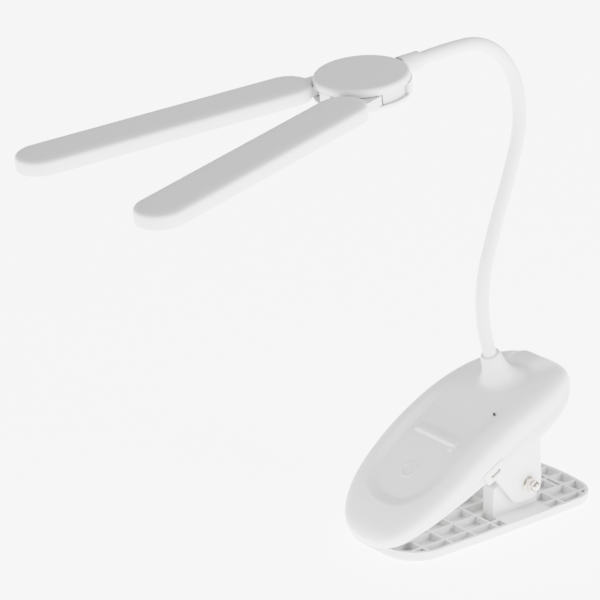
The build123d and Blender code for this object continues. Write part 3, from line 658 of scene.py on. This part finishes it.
def build_socket_block():
    """Block of the charging socket on the near side, with its opening."""
    low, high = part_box("usb_socket")
    matrix = body_matrix()
    centre = matrix.inverted() @ ((low + high) / 2)
    u, level = centre.x / MM, centre.z / MM
    face = -35.0
    outer = rounded_polygon(
        [(u - 7, level - 3.4), (u + 7, level - 3.4), (u + 7, level + 4.5), (u - 7, level + 4.5)],
        [1.6, 1.6, 0.6, 0.6],
    )
    hole = rounded_polygon(
        [(u - 3.75, level - 1.3), (u + 3.75, level - 1.3), (u + 3.75, level + 1.3), (u - 3.75, level + 1.3)],
        [0.9] * 4,
    )
    rings = []
    for inset, depth in ((0.6, 0.0), (0.18, 0.18), (0.0, 0.6), (0.0, 9.0)):
        ring = outer - outline_normals(outer) * inset
        rings.append(np.column_stack([ring[:, 0], np.full(len(ring), face + depth), ring[:, 1]]))
    inner = []
    for inset, depth in ((-0.25, 0.0), (0.0, 0.25), (0.0, 1.2)):
        ring = hole - outline_normals(hole) * inset
        inner.append(np.column_stack([ring[:, 0], np.full(len(ring), face + depth), ring[:, 1]]))
    verts, faces = ring_stack(rings, False, True)
    inner_verts, inner_faces = ring_stack(inner, False, False)
    count = len(outer)
    offset_index = len(verts)
    hole_count = len(hole)
    bridge = []
    for k in range(count):
        a, b = k, (k + 1) % count
        c, d = k * hole_count // count, ((k + 1) * hole_count // count) % hole_count
        face_ring = [a, b, offset_index + d]
        if c != d:
            face_ring.append(offset_index + c)
        bridge.append(tuple(face_ring))
    all_verts = np.concatenate([verts, inner_verts]) * MM
    faces = faces + [tuple(offset_index + i for i in face) for face in inner_faces] + bridge
    make_piece("socket_block", all_verts, faces, "white_abs", "clip_body", (), matrix, 40)


# ---- gooseneck ---------------------------------------------------------------------
def neck_route():
    """Joint places along the gooseneck and the heading at each, in the XZ plane."""
    low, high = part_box("neck_collar")
    start = (low + high) / 2
    names = ["neck_bend_low", "neck_side", "neck_bend_low_2", "neck_side_2", "neck_bend_high", "neck_side_3",
             "neck_bend_high_2"]
    points = [Vector(start)] + [Vector(joint_place(name)) for name in names]
    headings = [bpy.context.scene.lamp_body.boss_lean]
    for a, b in zip(points, points[1:]):
        chord = math.atan2(b.x - a.x, b.z - a.z)
        headings.append(2 * chord - headings[-1])
    return points, headings


def arc_points(start, end, heading, steps):
    """Places and headings along the arc that leaves start at a heading and meets end."""
    chord = math.atan2(end.x - start.x, end.z - start.z)
    sweep = 2 * (chord - heading)
    gap = (end - start).length
    radius = gap / (2 * math.sin(sweep / 2)) if abs(sweep) > 1e-6 else 1e6
    result = []
    for k in range(steps + 1):
        angle = sweep * k / steps
        x = start.x + radius * (math.cos(heading) - math.cos(heading + angle))
        z = start.z + radius * (math.sin(heading + angle) - math.sin(heading))
        result.append((x, z, heading + angle))
    return result


def tube(route, radius, segments=40):
    """Tube through (x, z, heading) triples."""
    angles = np.linspace(0, 2 * math.pi, segments, endpoint=False)
    rings = []
    for x, z, heading in route:
        side = np.array([math.cos(heading), 0, -math.sin(heading)])
        around = np.cos(angles)[:, None] * side + np.sin(angles)[:, None] * np.array([0, 1, 0])
        rings.append(np.array([x, 0, z]) + radius * around)
    return ring_stack(rings)


def build_gooseneck():
    """One smooth sleeve, cut at the middle of each link and bending over each joint."""
    sizes = bpy.context.scene.lamp_neck
    points, headings = neck_route()
    steps = sizes.steps * 2
    arcs = [arc_points(points[k], points[k + 1], headings[k], steps) for k in range(len(points) - 1)]
    head = head_matrix()
    hub = bpy.context.scene.lamp_head
    last = points[-1]
    axis_heading = math.atan2(-head.col[0][0], -head.col[0][2])
    end = head @ Vector((hub.neck_end, 0, -hub.neck_drop))
    arcs.append(arc_points(last, end, headings[-1], steps))
    tail = [
        (end.x + math.sin(axis_heading) * d, end.z + math.cos(axis_heading) * d, axis_heading)
        for d in (0.004, 0.012)
    ]
    root_heading = headings[0]
    root = [
        (points[0].x - math.sin(root_heading) * d, points[0].z - math.cos(root_heading) * d, root_heading)
        for d in (0.010, 0.004)
    ]
    bodies = ["clip_body"] + ["neck_link_" + str(k) for k in range(2, 8)] + ["head"]
    half = sizes.steps
    first = root + arcs[0][:half + 1]
    verts, faces = tube(first, sizes.radius)
    make_piece("sleeve_root", verts, faces, "neck_sleeve", bodies[0], ("neck_sleeve_1",))
    for k in range(7):
        route = arcs[k][half:] + arcs[k + 1][1:half + 1]
        verts, faces = tube(route, sizes.radius)
        piece = make_piece("sleeve_" + str(k + 1), verts, faces, "neck_sleeve")
        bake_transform(piece)
        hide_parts("neck_sleeve_" + str(k + 2))
    verts, faces = tube(arcs[7][half:] + tail, sizes.radius)
    make_piece("sleeve_end", verts, faces, "neck_sleeve", bodies[7])


# ---- hub and bars ---------------------------------------------------------------------
def head_matrix():
    """Frame of the hub: origin at its centre, Z up through the cover."""
    joint = [j for j in frame["joints"] if j["name"] == "bar_right_swing"][0]
    axis = Vector(joint["axis"]).normalized()
    if axis.z < 0:
        axis = -axis
    side = Vector((0, 1, 0))
    ahead = side.cross(axis)
    matrix = Matrix((ahead, side, axis)).transposed().to_4x4()
    return Matrix.Translation(Vector(joint["pos_m"])) @ matrix


def build_hub_cover():
    """Slightly domed cap with a soft edge and a shallow shadow line under it."""
    sizes = bpy.context.scene.lamp_head
    radius = sizes.hub_radius / MM
    edge = sizes.hub_edge / MM
    top = 2.0
    profile = [(radius - 1.8, -2.35), (radius - 0.3, -2.4), (radius, -2.2)]
    for k in range(9):
        angle = math.radians(90 * k / 8)
        profile.append((radius - edge * (1 - math.cos(angle)), top - 0.25 - edge * (1 - math.sin(angle))))
    for share in (0.85, 0.7, 0.5, 0.3, 0.12):
        profile.append((radius * share, top - 0.25 * share * share * 1.2))
    profile.append((0.05, top))
    verts, faces = lathe([(r * MM, z * MM) for r, z in profile], 128)
    make_piece("hub_cap", verts, faces, "white_abs", "head", ("hub_cover",), head_matrix())


def bar_profile(height):
    """(inset, height) pairs of a bar: small lower edge, tall wall, wide soft shoulder."""
    pairs = [(1.6, -height + 0.02), (0.5, -height), (0.12, -height + 0.12), (0.0, -height + 0.5)]
    pairs += [(0.0, -2.6), (0.05, -2.0), (0.22, -1.45), (0.6, -0.95), (1.2, -0.6)]
    pairs += [(2.2, -0.32), (3.4, -0.14), (4.8, -0.04), (6.4, 0.0), (10.0, 0.0)]
    return pairs


def build_bars():
    """Both light bars' housings with a soft shoulder; the opal pane underneath is not built here."""
    sizes = bpy.context.scene.lamp_head
    width = sizes.bar_width / MM
    height = sizes.bar_height / MM
    for side, name in ((1, "left"), (-1, "right")):
        points = stadium(sizes.bar_root / MM, sizes.bar_length / MM, width, sizes.bar_offset / MM)
        verts, faces = slab(points, bar_profile(height))
        turned = head_matrix() @ Matrix.Scale(side, 4, (0, 1, 0)) @ Matrix.Rotation(-sizes.bar_splay, 4, "Z")
        if side < 0:
            faces = [tuple(reversed(face)) for face in faces]
        make_piece(
            "bar_" + name, verts * MM, faces, "bar_abs", "light_" + name, ("bar_housing_" + name,), turned
        )


# ---- stage ------------------------------------------------------------------------------
def area_light(name, place, target, size, power):
    """Square soft box aimed at a point."""
    data = bpy.data.lights.new(name, "AREA")
    data.shape = "SQUARE"
    data.size = size
    data.energy = power
    lamp = bpy.data.objects.new(name, data)
    bpy.context.scene.collection.objects.link(lamp)
    lamp.location = place
    lamp.rotation_euler = (Vector(target) - Vector(place)).to_track_quat("-Z", "Y").to_euler()
    lamp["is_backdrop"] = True


def build_stage():
    """Pale floor, soft light from all round and a soft box on the near side, and the camera."""
    looks = bpy.context.scene.lamp_looks
    floor_mesh = bpy.data.meshes.new("floor")
    reach = 6.0
    corners = [(-reach, -reach, 0), (reach, -reach, 0), (reach, reach, 0), (-reach, reach, 0)]
    floor_mesh.from_pydata(corners, [], [(0, 1, 2, 3)])
    material = plastic("Pale floor", looks.floor, 0.9, 0.01, 0.0)
    # the white studio table is lit from below, so it throws no shadow
    shader = material.node_tree.nodes["Principled BSDF"]
    shader.inputs["Emission Color"].default_value = (1, 1, 1, 1)
    shader.inputs["Emission Strength"].default_value = looks.table_light
    floor_mesh.materials.append(material)
    floor = bpy.data.objects.new("floor", floor_mesh)
    bpy.context.scene.collection.objects.link(floor)
    floor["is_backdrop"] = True
    world = bpy.data.worlds.new("studio")
    bpy.context.scene.world = world
    world.use_nodes = True
    background = world.node_tree.nodes["Background"]
    background.inputs["Color"].default_value = (1, 1, 1, 1)
    background.inputs["Strength"].default_value = looks.sky_light
    centre = (-0.10, 0, 0.14)
    area_light("near side", (0.9, -2.0, 0.75), centre, 1.0, 62.0)
    data = bpy.data.cameras.new("camera")
    data.sensor_width = 36.0
    data.lens = 206.9
    data.clip_end = 20.0
    camera = bpy.data.objects.new("camera", data)
    bpy.context.scene.collection.objects.link(camera)
    place = Vector((-1.1379, -1.2500, 0.7908))
    camera.location = place
    camera.rotation_euler = (Vector((-0.118, 0.0, 0.1544)) - place).to_track_quat("-Z", "Y").to_euler()
    bpy.context.scene.camera = camera


def dress_nodes():
    """Every CAD node that stays in view takes the material of its slot."""
    slots = {s["node"]: s["material_slot"] for s in frame["record"]["subparts"]}
    for name, node in frame["nodes"].items():
        node.data.materials.clear()
        node.data.materials.append(MATERIALS[slots[name]])


# ---- operators --------------------------------------------------------------------------
class LAMP_OT_materials(bpy.types.Operator):
    """Make the materials and put them on the CAD pieces"""
    bl_idname = "lamp.materials"
    bl_label = "Materials"

    def execute(self, context):
        MATERIALS.update(build_materials())
        dress_nodes()
        return {"FINISHED"}


class LAMP_OT_body(bpy.types.Operator):
    """Build the casing, the skirt and the pivot ears"""
    bl_idname = "lamp.body"
    bl_label = "Clip body"

    def execute(self, context):
        build_casing()
        build_skirt()
        return {"FINISHED"}


class LAMP_OT_gooseneck(bpy.types.Operator):
    """Build the gooseneck's sleeve"""
    bl_idname = "lamp.gooseneck"
    bl_label = "Gooseneck"

    def execute(self, context):
        build_gooseneck()
        return {"FINISHED"}


class LAMP_OT_head(bpy.types.Operator):
    """Build the hub's cap and the two light bars"""
    bl_idname = "lamp.head"
    bl_label = "Hub and bars"

    def execute(self, context):
        build_hub_cover()
        build_bars()
        return {"FINISHED"}


class LAMP_OT_stage(bpy.types.Operator):
    """Set up the floor, the lights and the camera"""
    bl_idname = "lamp.stage"
    bl_label = "Stage"

    def execute(self, context):
        build_stage()
        return {"FINISHED"}


OPERATORS = (LAMP_OT_materials, LAMP_OT_body, LAMP_OT_gooseneck, LAMP_OT_head, LAMP_OT_stage)


class LAMP_PT_panel(bpy.types.Panel):
    """Sizes, colours and build buttons of the lamp"""
    bl_idname = "LAMP_PT_panel"
    bl_label = "Clip-on Reading Lamp"
    bl_space_type = "VIEW_3D"
    bl_region_type = "UI"
    bl_category = "Lamp"

    def draw(self, context):
        for name, group in GROUPS:
            box = self.layout.box()
            box.label(text=group.__doc__)
            settings = getattr(context.scene, name)
            for key in group.__annotations__:
                box.prop(settings, key)
        for operator in OPERATORS:
            self.layout.operator(operator.bl_idname)


def register():
    for name, group in GROUPS:
        bpy.utils.register_class(group)
        setattr(bpy.types.Scene, name, bpy.props.PointerProperty(type=group))
    for operator in OPERATORS:
        bpy.utils.register_class(operator)
    bpy.utils.register_class(LAMP_PT_panel)


def unregister():
    bpy.utils.unregister_class(LAMP_PT_panel)
    for operator in reversed(OPERATORS):
        bpy.utils.unregister_class(operator)
    for name, group in reversed(GROUPS):
        delattr(bpy.types.Scene, name)
        bpy.utils.unregister_class(group)


def plain(value):
    """Vectors and tuples as plain lists."""
    if isinstance(value, dict):
        return {key: plain(item) for key, item in value.items()}
    if hasattr(value, "__len__") and not isinstance(value, str):
        return [plain(item) for item in value]
    return value


def main():
    register()
    bpy.ops.lamp.materials()
    bpy.ops.lamp.body()
    bpy.ops.lamp.gooseneck()
    bpy.ops.lamp.head()
    bpy.ops.lamp.stage()
    {"frame": plain(START_BOUNDS), "finished": plain(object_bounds())}


if __name__ == "__main__":
    main()
